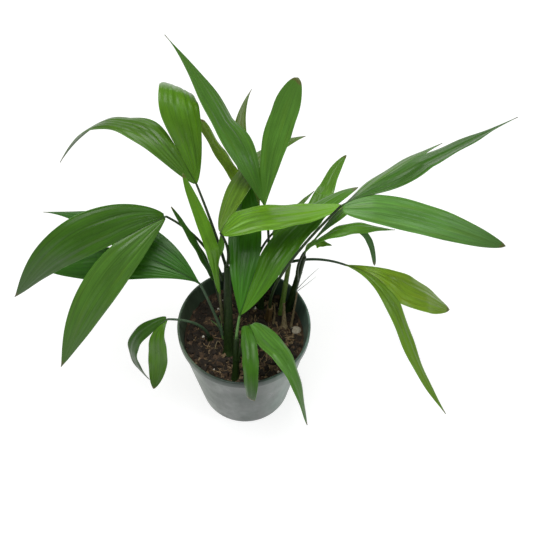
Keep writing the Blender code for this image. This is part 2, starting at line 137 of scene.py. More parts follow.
FRONDS = {
    "frond_upper_left": Frond(
        "cane_main", 0.158, 111, Bend(116, 38, 0.070, 0.004),
        (Lobe(Bend(166, -4, 0.121, 0.039, 0.017, 0.55), 0.0285, -5, -25, 0.40, 1.3),
         Lobe(Bend(104, 20, 0.086, 0.0435, -0.0035, 0.60), 0.032, -5, -30, 0.60, 0.55)),
        "mid"),
    "frond_tall": Frond(
        "cane_back", None, None, Bend(83, 77, 0.0895, 0.002, 0.005),
        (Lobe(Bend(128, 33, 0.156, 0.0115, 0.001, 0.60), 0.0295, -50, 40, 0.40, 2.0),
         Lobe(Bend(66, 56, 0.105, -0.0015, -0.005, 0.50), 0.024, 25, -15, 0.65, 0.55)),
        "bluish"),
    "frond_centre": Frond(
        "cane_main", None, None, Bend(182, 85, 0.043, 0.003),
        (Lobe(Bend(62, -10, 0.149, 0.011, -0.012, 0.50), 0.019, 15, -15, 0.40, 0.9),
         Lobe(Bend(16, 1, 0.100, 0.0045, -0.002, 0.25), 0.0315, 15, 0, 0.35, 0.7)),
        "bright"),
    "frond_back": Frond(
        "cane_back", 0.100, 84, Bend(94, 42, 0.072, 0.006, -0.004),
        (Lobe(Bend(132, 36, 0.095, 0.007, -0.0045, 0.50), 0.0135, -30, 5, 0.55, 0.2),
         Lobe(Bend(95, 38, 0.107, 0.0055, -0.0125, 0.60), 0.015, 0, 0, 0.40, 1.2)),
        "olive"),
    "frond_front_broad": Frond(
        "cane_front", None, None, Bend(75, 60, 0.020, 0.001),
        (Lobe(Bend(88, 25, 0.114, 0.0065, 0.0015, 0.50), 0.0275, 10, -5, 0.55, 0.9),
         Lobe(Bend(43, 24, 0.142, 0.0065, -0.0105, 0.60), 0.028, 0, 35, 0.55, 0.7)),
        "mid"),
    "frond_back_folded": Frond(
        "cane_back", 0.106, 180, Bend(67, 55, 0.0565, 0.006, -0.006),
        (Lobe(Bend(44, 21, 0.094, 0.0, 0.018, 0.30), 0.0205, 15, 5, 0.30, 0.6),
         Lobe(Bend(38, 29, 0.051, 0.004, 0.0005, 0.55), 0.0075, 15, 30, 0.40, 0.95)),
        "mid"),
    "frond_right_high": Frond(
        "cane_middle", None, None, Bend(0, 70, 0.1445, 0.014, 0.011),
        (Lobe(Bend(28, 8, 0.153, 0.0085, 0.0035, 0.45), 0.026, 25, 20, 0.50, 1.9),
         Lobe(Bend(-3, -16, 0.132, 0.008, 0.0005, 0.40), 0.024, -5, -40, 0.35, 0.65)),
        "mid"),
    "frond_right_back": Frond(
        "cane_right", 0.132, -105, Bend(11, 84, 0.036, 0.002),
        (Lobe(Bend(35, 19, 0.146, 0.007, -0.006, 0.50), 0.025, 40, 5, 0.60, 1.15),
         Lobe(Bend(10, 12, 0.076, 0.0135, -0.0025, 0.45), 0.015, 15, 5, 0.55, 1.6)),
        "mid"),
    "frond_right_small": Frond(
        "cane_right", None, None, Bend(41, 73, 0.003),
        (Lobe(Bend(11, 9, 0.023, 0.0035, -0.003, 0.45), 0.0095, 5, 0, 0.40, 1.0),
         Lobe(Bend(1, -18, 0.063, 0.032, -0.0085, 0.50), 0.005, -25, -45, 0.70, 0.35)),
        "dark"),
    "frond_right_drooping": Frond(
        "cane_green", None, None, Bend(-8, 8, 0.048, 0.002, -0.003),
        (Lobe(Bend(-14, -19, 0.099, 0.020, 0.012, 0.35), 0.029, -5, 20, 0.60, 0.65),
         Lobe(Bend(-53, -22, 0.147, 0.018, -0.0075, 0.25), 0.016, 10, 15, 0.40, 1.0)),
        "bright"),
    "frond_front_drooping": Frond(
        "cane_front", 0.108, -50, Bend(65, 54, 0.031, 0.004),
        (Lobe(Bend(-87, -34, 0.061, 0.0145, -0.0005, 0.55), 0.014, -10, -25, 0.30, 0.2),
         Lobe(Bend(-56, -22, 0.093, 0.0235, -0.0045, 0.45), 0.0185, 5, 35, 0.20, 0.8)),
        "mid"),
    "frond_left_low": Frond(
        "shoot_left", None, None, Bend(-179, 37, 0.041, 0.008),
        (Lobe(Bend(-130, -64, 0.071, 0.0135, 0.017, 0.50), 0.0135, -25, 30, 0.35, 0.55),
         Lobe(Bend(-110, -53, 0.067, 0.008, 0.003, 0.20), 0.017, 0, 15, 0.50, 0.7)),
        "mid"),
    "frond_left_middle": Frond(
        "cane_main", 0.106, 202, Bend(124, 46, 0.047, 0.003),
        (Lobe(Bend(160, 13, 0.144, 0.0155, 0.007, 0.50), 0.033, 5, -30, 0.45, 1.45),
         Lobe(Bend(171, -5, 0.145, 0.011, 0.0045, 0.40), 0.0305, 10, -5, 0.55, 1.2)),
        "bluish"),
    "frond_left_large": Frond(
        "cane_main", 0.149, 156, Bend(144, 35, 0.0685, 0.003, 0.006),
        (Lobe(Bend(-160, -21, 0.144, 0.0295, -0.002, 0.45), 0.0335, 30, 55, 0.40, 0.95),
         Lobe(Bend(-135, -36, 0.156, 0.0175, 0.0015, 0.45), 0.030, 20, 35, 0.45, 1.0)),
        "dark"),
    "frond_young_light": Frond(
        "cane_main", 0.117, 207, Bend(99, 73, 0.030, 0.001),
        (Lobe(Bend(119, 59, 0.107, 0.0065, 0.003, 0.40), 0.011, 0, 0, 0.45, 0.65),
         Lobe(Bend(86, 50, 0.055, 0.0015, -0.001, 0.40), 0.007, 0, 0, 0.45, 0.9)),
        "bright"),
    "frond_young_dark": Frond(
        "cane_main", 0.125, 171, Bend(112, 48, 0.0245, 0.001),
        (Lobe(Bend(151, 65, 0.083, 0.0045, -0.0015, 0.50), 0.0065, -5, 0, 0.40, 0.6),),
        "dark"),
}

# The green of each lobe of each leaf, 0 to 255
GREENS = {
    "frond_upper_left": ((76, 118, 30), (84, 132, 26)),
    "frond_tall": ((74, 120, 38), (82, 130, 42)),
    "frond_centre": ((90, 126, 34), (98, 148, 32)),
    "frond_back": ((106, 142, 28), (86, 114, 28)),
    "frond_front_broad": ((58, 120, 14), (78, 132, 26)),
    "frond_back_folded": ((96, 148, 40), (104, 142, 64)),
    "frond_right_high": ((58, 106, 20), (94, 146, 62)),
    "frond_right_back": ((82, 132, 36), (88, 140, 40)),
    "frond_right_small": ((130, 184, 44), (62, 118, 30)),
    "frond_right_drooping": ((128, 168, 34), (106, 148, 32)),
    "frond_front_drooping": ((64, 116, 22), (80, 130, 44)),
    "frond_left_low": ((50, 92, 14), (74, 120, 20)),
    "frond_left_middle": ((56, 112, 28), (54, 112, 18)),
    "frond_left_large": ((60, 104, 22), (76, 120, 38)),
    "frond_young_light": ((92, 144, 26), (94, 148, 40)),
    "frond_young_dark": ((48, 92, 18),),
}

# How light or dark each lobe's tip is beside its middle, where it isn't slightly darker: partly
# the lobe's own tone, partly painted shade and painted sheen
TIP_SHADE = 0.85
TIP_SHADES = {
    "frond_upper_left": (0.7, 0.95),
    "frond_centre": (0.9, 1.15),
    "frond_front_broad": (0.9, 0.95),
    "frond_right_high": (0.85, 0.7),
    "frond_front_drooping": (0.6, 0.75),
    "frond_left_low": (0.6, 0.7),
}

# Blades that are creased along the middle, and the crease's height as a share of the width
CREASES = {"frond_right_high_blade_1": -0.16, "frond_back_folded_blade_1": -0.10}

# Stalks that aren't dark green
STALK_LOOKS = {
    "frond_front_broad": "leafy",
    "frond_left_middle": "grey",
    "frond_left_low": "grey",
    "frond_right_drooping": "grey",
    "frond_young_light": "brownish",
}
LOOK_SLOTS = {look: f"leaf_{look}" for look in ("mid", "bluish", "dark", "bright", "olive")}

WARMER = (1.22, 1.08, 0.8)  # of the yellower places on a leaf
# How dark the midrib is beside its first blade: painted shade in the crease where the lobes meet
RIB_SHADE = 0.75
DRIED_TIP = (92, 84, 46)
POT_DARK = (24, 38, 28)

# The pot's colour from its left side to its right: a painted sheen makes both sides lighter than
# the middle
POT_SIDE_SHEEN = (
    (0.25, (90, 106, 86)),
    (0.50, (30, 52, 38)),
    (0.78, (32, 54, 42)),
    (1.00, (98, 120, 108)),
)

# Two colours of a stem or stalk, 0 to 255, and its slot
CANE_LOOKS = {
    "dark": ((22, 40, 12), (46, 66, 24), "cane"),
    "green": ((92, 126, 46), (134, 158, 84), "cane_green"),
    "brown": ((80, 62, 36), (128, 104, 66), "cane"),
    "straw": ((96, 82, 56), (158, 144, 110), "dry_sheath"),
    "leafy": ((84, 128, 60), (116, 154, 92), "cane_green"),
    "grey": ((52, 74, 50), (80, 102, 76), "cane"),
    "brownish": ((56, 60, 32), (94, 90, 54), "cane"),
}


def linear(colour):
    parts = [part / 255.0 for part in colour]
    return [p / 12.92 if p <= 0.04045 else ((p + 0.055) / 1.055) ** 2.4 for p in parts]


def rgba(colour):
    return (*linear(colour), 1.0)


def unit(vectors):
    return vectors / np.linalg.norm(vectors, axis=-1, keepdims=True)


def direction(heading, rise=0.0):
    heading = math.radians(heading)
    rise = math.radians(rise)
    level = math.cos(rise)
    return np.array([math.cos(heading) * level, math.sin(heading) * level, math.sin(rise)])


def swell(share, crest):
    before = max(1.0, crest / (1.0 - crest))
    after = max(1.0, (1.0 - crest) / crest)
    return (share / crest) ** before * ((1.0 - share) / (1.0 - crest)) ** after


def bend_points(start, bend, share):
    forward = direction(bend.heading, bend.rise)
    right = direction(bend.heading - 90.0)
    up = np.cross(right, forward)
    offset = bend.arch * up + bend.bow * right
    straight = np.outer(share, bend.reach * forward)
    return start + straight + np.outer(swell(share, bend.crest), offset)


def fullness(lobe, share):
    swelling = lobe.taper * lobe.belly / (1.0 - lobe.belly)
    body = (share / lobe.belly) ** swelling
    return body * ((1.0 - share) / (1.0 - lobe.belly)) ** lobe.taper


def lobe_strip(base, lobe, share):
    step = 0.002
    middle = bend_points(base, lobe.bend, share)
    ahead = bend_points(base, lobe.bend, np.minimum(share + step, 1.0))
    behind = bend_points(base, lobe.bend, np.maximum(share - step, 0.0))
    along = unit(ahead - behind)
    right = direction(lobe.bend.heading - 90.0)
    level = unit(right - (along @ right)[:, None] * along)
    angle = np.radians(lobe.roll + lobe.twist * share)[:, None]
    across = level * np.cos(angle) + np.cross(level, along) * np.sin(angle)
    half = np.maximum(lobe.width / 2 * fullness(lobe, share), TIP_HALF_WIDTH)
    return middle, across, half


def shared_rib(base, lobe, other, share):
    matched = np.minimum(share * lobe.bend.reach / other.bend.reach, 1.0)
    middle, _, half = lobe_strip(base, lobe, share)
    other_middle, _, other_half = lobe_strip(base, other, matched)
    between = other_middle - middle
    rib = middle + between * (half / (half + other_half))[:, None]
    joined = np.linalg.norm(between, axis=1) < half + other_half
    return rib, joined


def lobe_edges(base, lobes, index, share):
    """Left edge and right edge of a lobe, cut back to the rib that it shares, and on
    which side of it that rib is."""
    lobe = lobes[index]
    middle, across, half = lobe_strip(base, lobe, share)
    left = middle - across * half[:, None]
    right = middle + across * half[:, None]
    if len(lobes) == 1:
        return left, right, 0.0
    rib, _ = shared_rib(base, lobe, lobes[1 - index], share)
    to_rib = rib - middle
    distance = np.linalg.norm(to_rib, axis=1)
    near = len(share) // 3
    side = math.copysign(1.0, float(np.sum(to_rib[:near] * across[:near])))
    free = np.clip((distance / half - 1.0) / FORK_FADE, 0.0, 1.0)[:, None]
    inward = unit(unit(to_rib) * (1.0 - free) + across * side * free)
    inner = middle + inward * np.minimum(half, distance)[:, None]
    return (left, inner, side) if side > 0 else (inner, right, side)


def grid_mesh(name, points, closed=False):
    """A mesh of rows and columns of points, with UVs of 0 to 1 across and along."""
    rows, columns = points.shape[:2]
    faces = []
    spots = []
    last = columns if closed else columns - 1
    for row in range(rows - 1):
        for column in range(last):
            beside = (column + 1) % columns
            faces.append((row * columns + column, row * columns + beside,
                          (row + 1) * columns + beside, (row + 1) * columns + column))
            for step_row, step_column in ((0, 0), (0, 1), (1, 1), (1, 0)):
                spots.append(((column + step_column) / last, (row + step_row) / (rows - 1)))
    mesh = bpy.data.meshes.new(name)
    mesh.from_pydata(points.reshape(-1, 3).tolist(), [], faces)
    layer = mesh.uv_layers.new(name="UVMap")
    layer.uv.foreach_set("vector", np.array(spots, np.float32).ravel())
    mesh.validate()
    return mesh


def place(name, mesh):
    obj = bpy.data.objects.new(name, mesh)
    bpy.context.scene.collection.objects.link(obj)
    return obj


def dress(obj, material, slot, *nodes):
    """Gives a piece its material, and puts it on the body in place of its solids."""
    obj.data.materials.clear()
    obj.data.materials.append(material)
    obj.data.shade_smooth()
    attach(obj, BODY)
    if nodes:
        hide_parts(*nodes)
    return obj


class Shader:
    """A Principled material, and short calls for the nodes that feed it."""

    def __init__(self, name, roughness=0.5, **sockets):
        self.material = bpy.data.materials.new(name)
        self.material.use_nodes = True
        self.nodes = self.material.node_tree.nodes
        self.links = self.material.node_tree.links
        self.shader = self.nodes["Principled BSDF"]
        self.shader.inputs["Roughness"].default_value = roughness
        for socket, value in sockets.items():
            self.shader.inputs[socket.replace("_", " ")].default_value = value

    def node(self, kind, inputs=None, **settings):
        made = self.nodes.new(kind)
        for key, value in settings.items():
            setattr(made, key, value)
        for key, value in (inputs or {}).items():
            if isinstance(value, bpy.types.NodeSocket):
                self.links.new(value, made.inputs[key])
            else:
                made.inputs[key].default_value = value
        return made

    def link(self, output, socket):
        self.links.new(output, self.shader.inputs[socket])

    def noise(self, vector, scale, detail=3.0, roughness=0.5):
        made = self.node("ShaderNodeTexNoise", {
            "Vector": vector, "Scale": scale, "Detail": detail, "Roughness": roughness})
        return made.outputs["Fac"]

    def ramp(self, fac, stops):
        made = self.node("ShaderNodeValToRGB", {"Fac": fac})
        elements = made.color_ramp.elements
        while len(elements) < len(stops):
            elements.new(0.5)
        for element, (position, colour) in zip(elements, stops):
            element.position = position
            element.color = colour
        return made.outputs["Color"]

    def stretched(self, output, scale):
        made = self.node("ShaderNodeMapping", {"Vector": output, "Scale": scale})
        return made.outputs["Vector"]

    def mix(self, fac, first, second):
        made = self.node("ShaderNodeMix", data_type="RGBA")
        for socket, value in ((0, fac), (6, first), (7, second)):
            if isinstance(value, bpy.types.NodeSocket):
                self.links.new(value, made.inputs[socket])
            else:
                made.inputs[socket].default_value = value
        return made.outputs[2]

    def bump(self, height, strength, distance):
        made = self.node("ShaderNodeBump", {
            "Height": height, "Strength": strength, "Distance": distance})
        self.link(made.outputs["Normal"], "Normal")


def shaded(colour, factor):
    """A colour made lighter or darker."""
    return rgba([min(255.0, part * factor) for part in colour])


def grey(value):
    return (value, value, value, 1.0)


def leaf_material(name, green, tip_shade):
    """Streaks and fine veins run the length of the blade, through its UVs. Its margin is
    lighter, its tip is lighter or darker, partly its own tone and partly painted shade and
    painted sheen, and its very tip has dried."""
    made = Shader(name, 0.36, Specular_IOR_Level=0.32)
    uv = made.node("ShaderNodeTexCoord").outputs["UV"]
    spot = made.node("ShaderNodeSeparateXYZ", {"Vector": uv})
    across, along = spot.outputs["X"], spot.outputs["Y"]
    streaks = made.noise(made.stretched(uv, (16.0, 0.9, 1.0)), 2.0, 4.0, 0.6)
    veins = made.noise(made.stretched(uv, (70.0, 0.7, 1.0)), 2.0, 2.0, 0.5)
    clouds = made.noise(made.stretched(uv, (1.4, 2.6, 1.0)), 1.5, 3.0, 0.5)
    colour = made.ramp(streaks, ((0.3, shaded(green, 0.76)), (0.7, shaded(green, 1.18))))
    colour = made.mix(made.ramp(veins, ((0.34, grey(0.5)), (0.46, grey(0.0)))),
                      colour, shaded(green, 0.62))
    colour = made.mix(made.ramp(veins, ((0.56, grey(0.0)), (0.76, grey(0.3)))),
                      colour, shaded(green, 1.35))
    colour = made.mix(made.ramp(clouds, ((0.3, grey(0.45)), (0.6, grey(0.0)))),
                      colour, shaded(green, 0.68))
    sunned = made.noise(made.stretched(uv, (3.0, 1.6, 1.0)), 1.3, 3.0, 0.6)
    warm = rgba([part * scale for part, scale in zip(green, WARMER)])
    colour = made.mix(made.ramp(sunned, ((0.5, grey(0.0)), (0.75, grey(0.55)))), colour, warm)
    # The tip made lighter or darker: partly the lobe's own tone, partly painted shade and painted
    # sheen
    colour = made.mix(made.ramp(along, ((0.5, grey(0.0)), (0.95, grey(0.85)))),
                      colour, shaded(green, tip_shade))
    margin = made.ramp(across, ((0.0, grey(0.25)), (0.025, grey(0.0)),
                                (0.975, grey(0.0)), (1.0, grey(0.25))))
    colour = made.mix(margin, colour, shaded(green, 1.5))
    reach = made.node("ShaderNodeMath", {0: clouds, 1: 0.06, 2: along}, operation="MULTIPLY_ADD")
    dried = made.ramp(reach.outputs[0], ((0.99, grey(0.0)), (1.0, grey(0.7))))
    made.link(made.mix(dried, colour, rgba(DRIED_TIP)), "Base Color")
    made.link(made.ramp(clouds, ((0.3, grey(0.24)), (0.8, grey(0.44)))), "Roughness")
    made.bump(veins, 0.3, 0.0002)
    return made.material


def cane_material(look):
    dark, light, _ = CANE_LOOKS[look]
    made = Shader(f"stem_{look}", 0.48, Specular_IOR_Level=0.25)
    place_in = made.node("ShaderNodeTexCoord").outputs["Object"]
    streaks = made.noise(made.stretched(place_in, (900.0, 900.0, 45.0)), 1.0, 4.0, 0.6)
    colour = made.ramp(streaks, ((0.35, rgba(dark)), (0.75, rgba(light))))
    made.link(colour, "Base Color")
    made.bump(streaks, 0.4, 0.0002)
    return made.material


def pot_material():
    """Dark green plastic, with a painted sheen that makes it lighter at either side, and soft
    upright streaks.
    """
    made = Shader("pot_plastic", 0.36, Specular_IOR_Level=0.3)
    place_in = made.node("ShaderNodeTexCoord").outputs["Object"]
    streaks = made.noise(made.stretched(place_in, (90.0, 90.0, 14.0)), 1.0, 4.0, 0.6)
    cloud = made.noise(made.stretched(place_in, (38.0, 38.0, 24.0)), 1.0, 5.0, 0.65)
    grain = made.noise(made.stretched(place_in, (900.0, 900.0, 900.0)), 1.0, 2.0)
    side = made.node("ShaderNodeSeparateXYZ", {"Vector": place_in}).outputs["X"]
    half_turn = made.node("ShaderNodeMapRange", {
        "Value": side, "From Min": -POT_RIM_RADIUS, "From Max": POT_RIM_RADIUS})
    across = made.node("ShaderNodeMath", {0: cloud, 1: 0.30, 2: half_turn.outputs[0]},
                       operation="MULTIPLY_ADD")
    # Painted sheen: the pot is lighter at its left and right sides than in the middle, mottled by
    # the clouds
    sheen_stops = [(spot, rgba(colour)) for spot, colour in POT_SIDE_SHEEN]
    colour = made.ramp(across.outputs[0], sheen_stops)
    dark = made.ramp(streaks, ((0.35, grey(0.55)), (0.62, grey(0.0))))
    made.link(made.mix(dark, colour, rgba(POT_DARK)), "Base Color")
    made.link(made.ramp(cloud, ((0.3, grey(0.26)), (0.75, grey(0.46)))), "Roughness")
    made.bump(grain, 0.15, 0.0002)
    return made.material


def mix_material(name, stops, scale, roughness=0.9):
    made = Shader(name, roughness)
    place_in = made.node("ShaderNodeTexCoord").outputs["Object"]
    patches = made.noise(place_in, scale, 6.0, 0.65)
    made.link(made.ramp(patches, stops), "Base Color")
    made.bump(made.noise(place_in, scale * 6, 4.0, 0.7), 0.7, 0.0006)
    return made.material


def wall_radius(height):
    top = POT_RIM_RADIUS - RIM_STEP
    return POT_BASE_RADIUS + (top - POT_BASE_RADIUS) * height / (POT_HEIGHT - RIM_BAND)


def rounded(corner, before, after, radius, steps=4):
    """Points of a small round corner between two straight runs of a profile."""
    corner, before, after = (np.array(p, float) for p in (corner, before, after))
    start = corner + unit(before - corner) * radius
    end = corner + unit(after - corner) * radius
    share = np.linspace(0, 1, steps)[:, None]
    return (1 - share) ** 2 * start + 2 * share * (1 - share) * corner + share ** 2 * end


def turned(name, profile, sides):
    angles = np.linspace(0, math.tau, sides, endpoint=False)
    rows = [[(r * math.cos(a), r * math.sin(a), z) for a in angles] for r, z in profile]
    return grid_mesh(name, np.array(rows), closed=True)


def pot_profile():
    band = POT_HEIGHT - RIM_BAND
    inner_rim = POT_RIM_RADIUS - POT_WALL
    corners = [
        (0.0003, POT_WALL),
        (wall_radius(POT_WALL) - POT_WALL, POT_WALL),
        (wall_radius(band) - POT_WALL, band),
        (inner_rim, POT_HEIGHT),
        (POT_RIM_RADIUS, POT_HEIGHT),
        (POT_RIM_RADIUS, band),
        (wall_radius(band), band),
        (wall_radius(0.0), 0.0),
        (POT_BASE_RADIUS - 0.004, 0.0),
        (0.0003, 0.0),
    ]
    radii = (None, 0.001, 0.001, 0.0006, 0.0007, 0.0005, 0.0004, 0.0016, 0.0005, None)
    points = [corners[0]]
    for i in range(1, len(corners) - 1):
        points += rounded(corners[i], corners[i - 1], corners[i + 1], radii[i]).tolist()
    return points + [corners[-1], corners[0]]


def make_pot():
    pot = place("pot_shell", turned("pot_shell", pot_profile(), POT_SIDES))
    weld(pot.data)
    drill_drain_holes(pot)
    dress(pot, pot_material(), "pot", "pot")
    pot.data.set_sharp_from_angle(angle=math.radians(40.0))


def weld(mesh):
    welded = bmesh.new()
    welded.from_mesh(mesh)
    bmesh.ops.remove_doubles(welded, verts=welded.verts, dist=WELD)
    bmesh.ops.recalc_face_normals(welded, faces=welded.faces)
    welded.to_mesh(mesh)
    welded.free()


def drill_drain_holes(pot):
    drills = bmesh.new()
    for hole in range(DRAIN_HOLES):
        angle = math.tau * (hole + 0.5) / DRAIN_HOLES
        spot = (DRAIN_RING * math.cos(angle), DRAIN_RING * math.sin(angle), POT_WALL / 2)
        bmesh.ops.create_cone(
            drills, cap_ends=True, segments=32, radius1=DRAIN_RADIUS, radius2=DRAIN_RADIUS,
            depth=4 * POT_WALL, matrix=Matrix.Translation(spot))
    mesh = bpy.data.meshes.new("drills")
    drills.to_mesh(mesh)
    drills.free()
    drill = place("drills", mesh)
    cut = pot.modifiers.new("drain_holes", "BOOLEAN")
    cut.operation = "DIFFERENCE"
    cut.solver = "EXACT"
    cut.object = drill
    bpy.context.view_layer.update()
    graph = bpy.context.evaluated_depsgraph_get()
    drilled = bpy.data.meshes.new_from_object(pot.evaluated_get(graph))
    pot.modifiers.remove(cut)
    pot.data = drilled
    bpy.data.objects.remove(drill, do_unlink=True)


def ground_height(x, y):
    """Relief of the growing mix: soft lumps."""
    lumps = 0.0
    for wave, (fx, fy, phase) in enumerate(((70, 35, 0.3), (-50, 90, 1.7), (140, 60, 4.1),
                                            (-110, 160, 2.2), (230, -190, 5.0))):
        lumps += np.sin(fx * x + fy * y + phase) / (wave + 1.5)
    return SOIL_TOP + MIX_RELIEF * 0.5 * lumps - 0.0004


def make_mix_bed(rng):
    reach = wall_radius(SOIL_TOP) - POT_WALL - GAP
    rings = np.linspace(0.0005, reach, MIX_RINGS)
    angles = np.linspace(0, math.tau, MIX_SPOKES, endpoint=False)
    radius, angle = np.meshgrid(rings, angles, indexing="ij")
    x = radius * np.cos(angle)
    y = radius * np.sin(angle)
    z = ground_height(x, y) + rng.normal(0, 0.00035, x.shape)
    points = np.stack([x, y, z], -1)
    bed = place("mix_bed", grid_mesh("mix_bed", points, closed=True))
    stops = ((0.3, rgba((26, 18, 10))), (0.5, rgba((58, 42, 26))), (0.72, rgba((96, 76, 52))))
    dress(bed, mix_material("mix_dark", stops, 260.0), "soil", "soil")


def scatter(rng, count, reach, avoid, lean=0.0):
    """Places in the pot, clear of the canes' feet, and more of them to the right where
    they lean to it."""
    spots = []
    while len(spots) < count:
        radius = reach * math.sqrt(rng.random())
        angle = math.tau * rng.random()
        x, y = radius * math.cos(angle), radius * math.sin(angle)
        if rng.random() > 0.5 + lean * (x - y) / reach:
            continue
        if all(math.hypot(x - cx, y - cy) > clear for cx, cy, clear in avoid):
            spots.append((x, y))
    return spots


def lump(rng, size):
    """A small irregular bit: a box pulled about and turned at random."""
    corners = np.array([(x, y, z) for x in (-1, 1) for y in (-1, 1) for z in (-1, 1)], float)
    corners *= np.array(size) / 2
    corners += rng.normal(0, 0.16, corners.shape) * np.array(size)
    turn = Matrix.Rotation(rng.random() * math.tau, 3, "Z")
    tilt = Matrix.Rotation(rng.normal(0, 0.5), 3, (rng.random(), rng.random(), 0.1))
    return np.array([turn @ tilt @ Vector(corner) for corner in corners])


LUMP_FACES = ((0, 1, 3, 2), (4, 6, 7, 5), (0, 4, 5, 1), (2, 3, 7, 6), (0, 2, 6, 4), (1, 5, 7, 3))


def join_lumps(name, lumps):
    points = np.vstack(lumps)
    faces = [tuple(8 * i + corner for corner in face)
             for i in range(len(lumps)) for face in LUMP_FACES]
    mesh = bpy.data.meshes.new(name)
    mesh.from_pydata(points.tolist(), [], faces)
    mesh.validate()
    return place(name, mesh)


# The bits in the mix: how many, their size, two colours, and how far they lean to the
# right and the front
MIX_KINDS = {
    "mix_chips_dark": (560, (0.0056, 0.0034, 0.0020), (18, 14, 9), (54, 42, 28), -0.25),
    "mix_chips_red": (220, (0.0060, 0.0030, 0.0017), (50, 37, 25), (98, 76, 54), -0.2),
    "mix_chips_straw": (240, (0.0062, 0.0020, 0.0013), (88, 72, 50), (148, 126, 94), 0.4),
    "mix_crumbs": (1000, (0.0022, 0.0016, 0.0013), (30, 22, 14), (92, 72, 48), 0.0),
    "mix_grains": (30, (0.0019, 0.0018, 0.0016), (190, 184, 170), (232, 228, 216), -0.1),
}


# Loose strands: where they start, pass and end, their radius and their look
STRANDS = {
    "hair_long": (((0.0435, 0.0315, 0.112), (0.0530, 0.0345, 0.127), (0.0627, 0.0371, 0.140)),
                  0.00035, "grey"),
    "hair_short": (((0.0440, 0.0318, 0.110), (0.0530, 0.0325, 0.122), (0.0609, 0.0339, 0.132)),
                   0.0003, "grey"),
    "curl_pale": (((-0.0248, -0.0146, 0.0905), (-0.0225, -0.0086, 0.0935),
                   (-0.0180, -0.0145, 0.0905)), 0.0005, "straw"),
    "blade_grassy_1": (((-0.0180, -0.0050, 0.0895), (-0.0215, 0.0010, 0.0990),
                        (-0.0290, 0.0060, 0.1040)), 0.0006, "leafy"),
    "blade_grassy_2": (((-0.0190, -0.0040, 0.0895), (-0.0195, 0.0030, 0.1000),
                        (-0.0215, 0.0080, 0.1090)), 0.0006, "leafy"),
    "sheath_bit": (((0.0250, 0.0110, 0.0895), (0.0262, 0.0150, 0.1010),
                    (0.0255, 0.0190, 0.1120)), 0.0012, "straw"),
}

# Larger pale bits in the mix: place in plan and size
PALE_BITS = (
    (-0.0444, -0.0050, 0.0024), (-0.0339, -0.0360, 0.0026), (0.0270, -0.0378, 0.0024),
    (-0.0319, 0.0340, 0.0028), (-0.0416, 0.0233, 0.0024), (0.0455, 0.0055, 0.0085),
    (0.0040, -0.0440, 0.0022), (-0.0150, 0.0430, 0.0022), (0.0190, 0.0440, 0.0024),
)


def stems_to_avoid():
    return [(*cane.foot, cane.foot_radius * FLARE + STEM_CLEAR) for cane in CANES.values()]


def make_mix_bits(rng):
    reach = wall_radius(SOIL_TOP) - POT_WALL - BITS_EDGE
    for name, (count, size, dark, light, lean) in MIX_KINDS.items():
        lumps = []
        for x, y in scatter(rng, count, reach, stems_to_avoid(), lean):
            scale = rng.uniform(0.45, 1.2)
            shape = lump(rng, [part * scale for part in size])
            lumps.append(shape + (x, y, float(ground_height(x, y)) + size[2] * 0.3))
        bits = join_lumps(name, lumps)
        stops = ((0.3, rgba(dark)), (0.75, rgba(light)))
        dress(bits, mix_material(name, stops, 500.0), "soil")
        bits.data.shade_flat()


def make_fibres(rng):
    """Loose curved fibres that lie on the mix."""
    reach = wall_radius(SOIL_TOP) - POT_WALL - FIBRES_EDGE
    share = np.linspace(-1.0, 1.0, 9)
    strands = []
    for x, y in scatter(rng, FIBRES, reach, stems_to_avoid(), FIBRE_LEAN):
        heading = rng.random() * math.tau
        half = rng.uniform(0.002, 0.0065)
        bow = rng.normal(0, 0.4) * half
        ahead = np.array([math.cos(heading), math.sin(heading)])
        aside = np.array([-ahead[1], ahead[0]])
        spots = np.array([x, y]) + np.outer(share * half, ahead)
        spots = spots + np.outer(share ** 2 * bow, aside)
        heights = ground_height(spots[:, 0], spots[:, 1]) + rng.uniform(0.0008, 0.0018)
        line = np.column_stack([spots, heights])
        strands.append(tube_points(line, FIBRE_RADIUS * (1.2 - share ** 2), 6))
    fibres = place("mix_fibres", join_tubes("mix_fibres", strands))
    stops = ((0.3, rgba((92, 70, 44))), (0.75, rgba((160, 136, 98))))
    dress(fibres, mix_material("mix_fibres", stops, 300.0), "soil")


def smooth_line(points, steps=12):
    """A smooth curve from the first of three points to the last, through the second."""
    start, middle, end = np.array(points, float)
    at = np.linspace(0.0, 2.0, steps)
    straight = start + (end - start) * (at / at[-1])[:, None]
    bend = middle - (start + end) / 2
    return straight + bend * np.sin(math.pi * at / at[-1])[:, None]


def make_strands(stems):
    """The loose hairs, dry bits and grassy blades among the canes."""
    for name, (points, radius, look) in STRANDS.items():
        line = smooth_line(points)
        radii = radius * np.linspace(1.0, 0.35, len(line))
        strand = place(name, grid_mesh(name, tube_points(line, radii, 8), closed=True))
        dress(strand, stems[look], CANE_LOOKS[look][2])


def make_pale_bits(rng):
    """The larger pale bits, each where it lies on the mix."""
    joined = bmesh.new()
    for x, y, size in PALE_BITS:
        made = bmesh.ops.create_icosphere(joined, subdivisions=3, radius=size / 2)
        flatness = Vector((1.0, 0.8, 0.6))
        phase = rng.random(3) * math.tau
        centre = Vector((x, y, float(ground_height(x, y)) + size * 0.15))
        for vert in made["verts"]:
            wave = sum(math.sin(4.0 * part / size + turn) for part, turn in zip(vert.co, phase))
            vert.co = centre + vert.co * flatness * (1.0 + 0.10 * wave)
    mesh = bpy.data.meshes.new("mix_pale_bits")
    joined.to_mesh(mesh)
    joined.free()
    stops = ((0.3, rgba((126, 108, 84))), (0.7, rgba((206, 198, 180))))
    dress(place("mix_pale_bits", mesh), mix_material("mix_pale_bits", stops, 420.0), "soil")


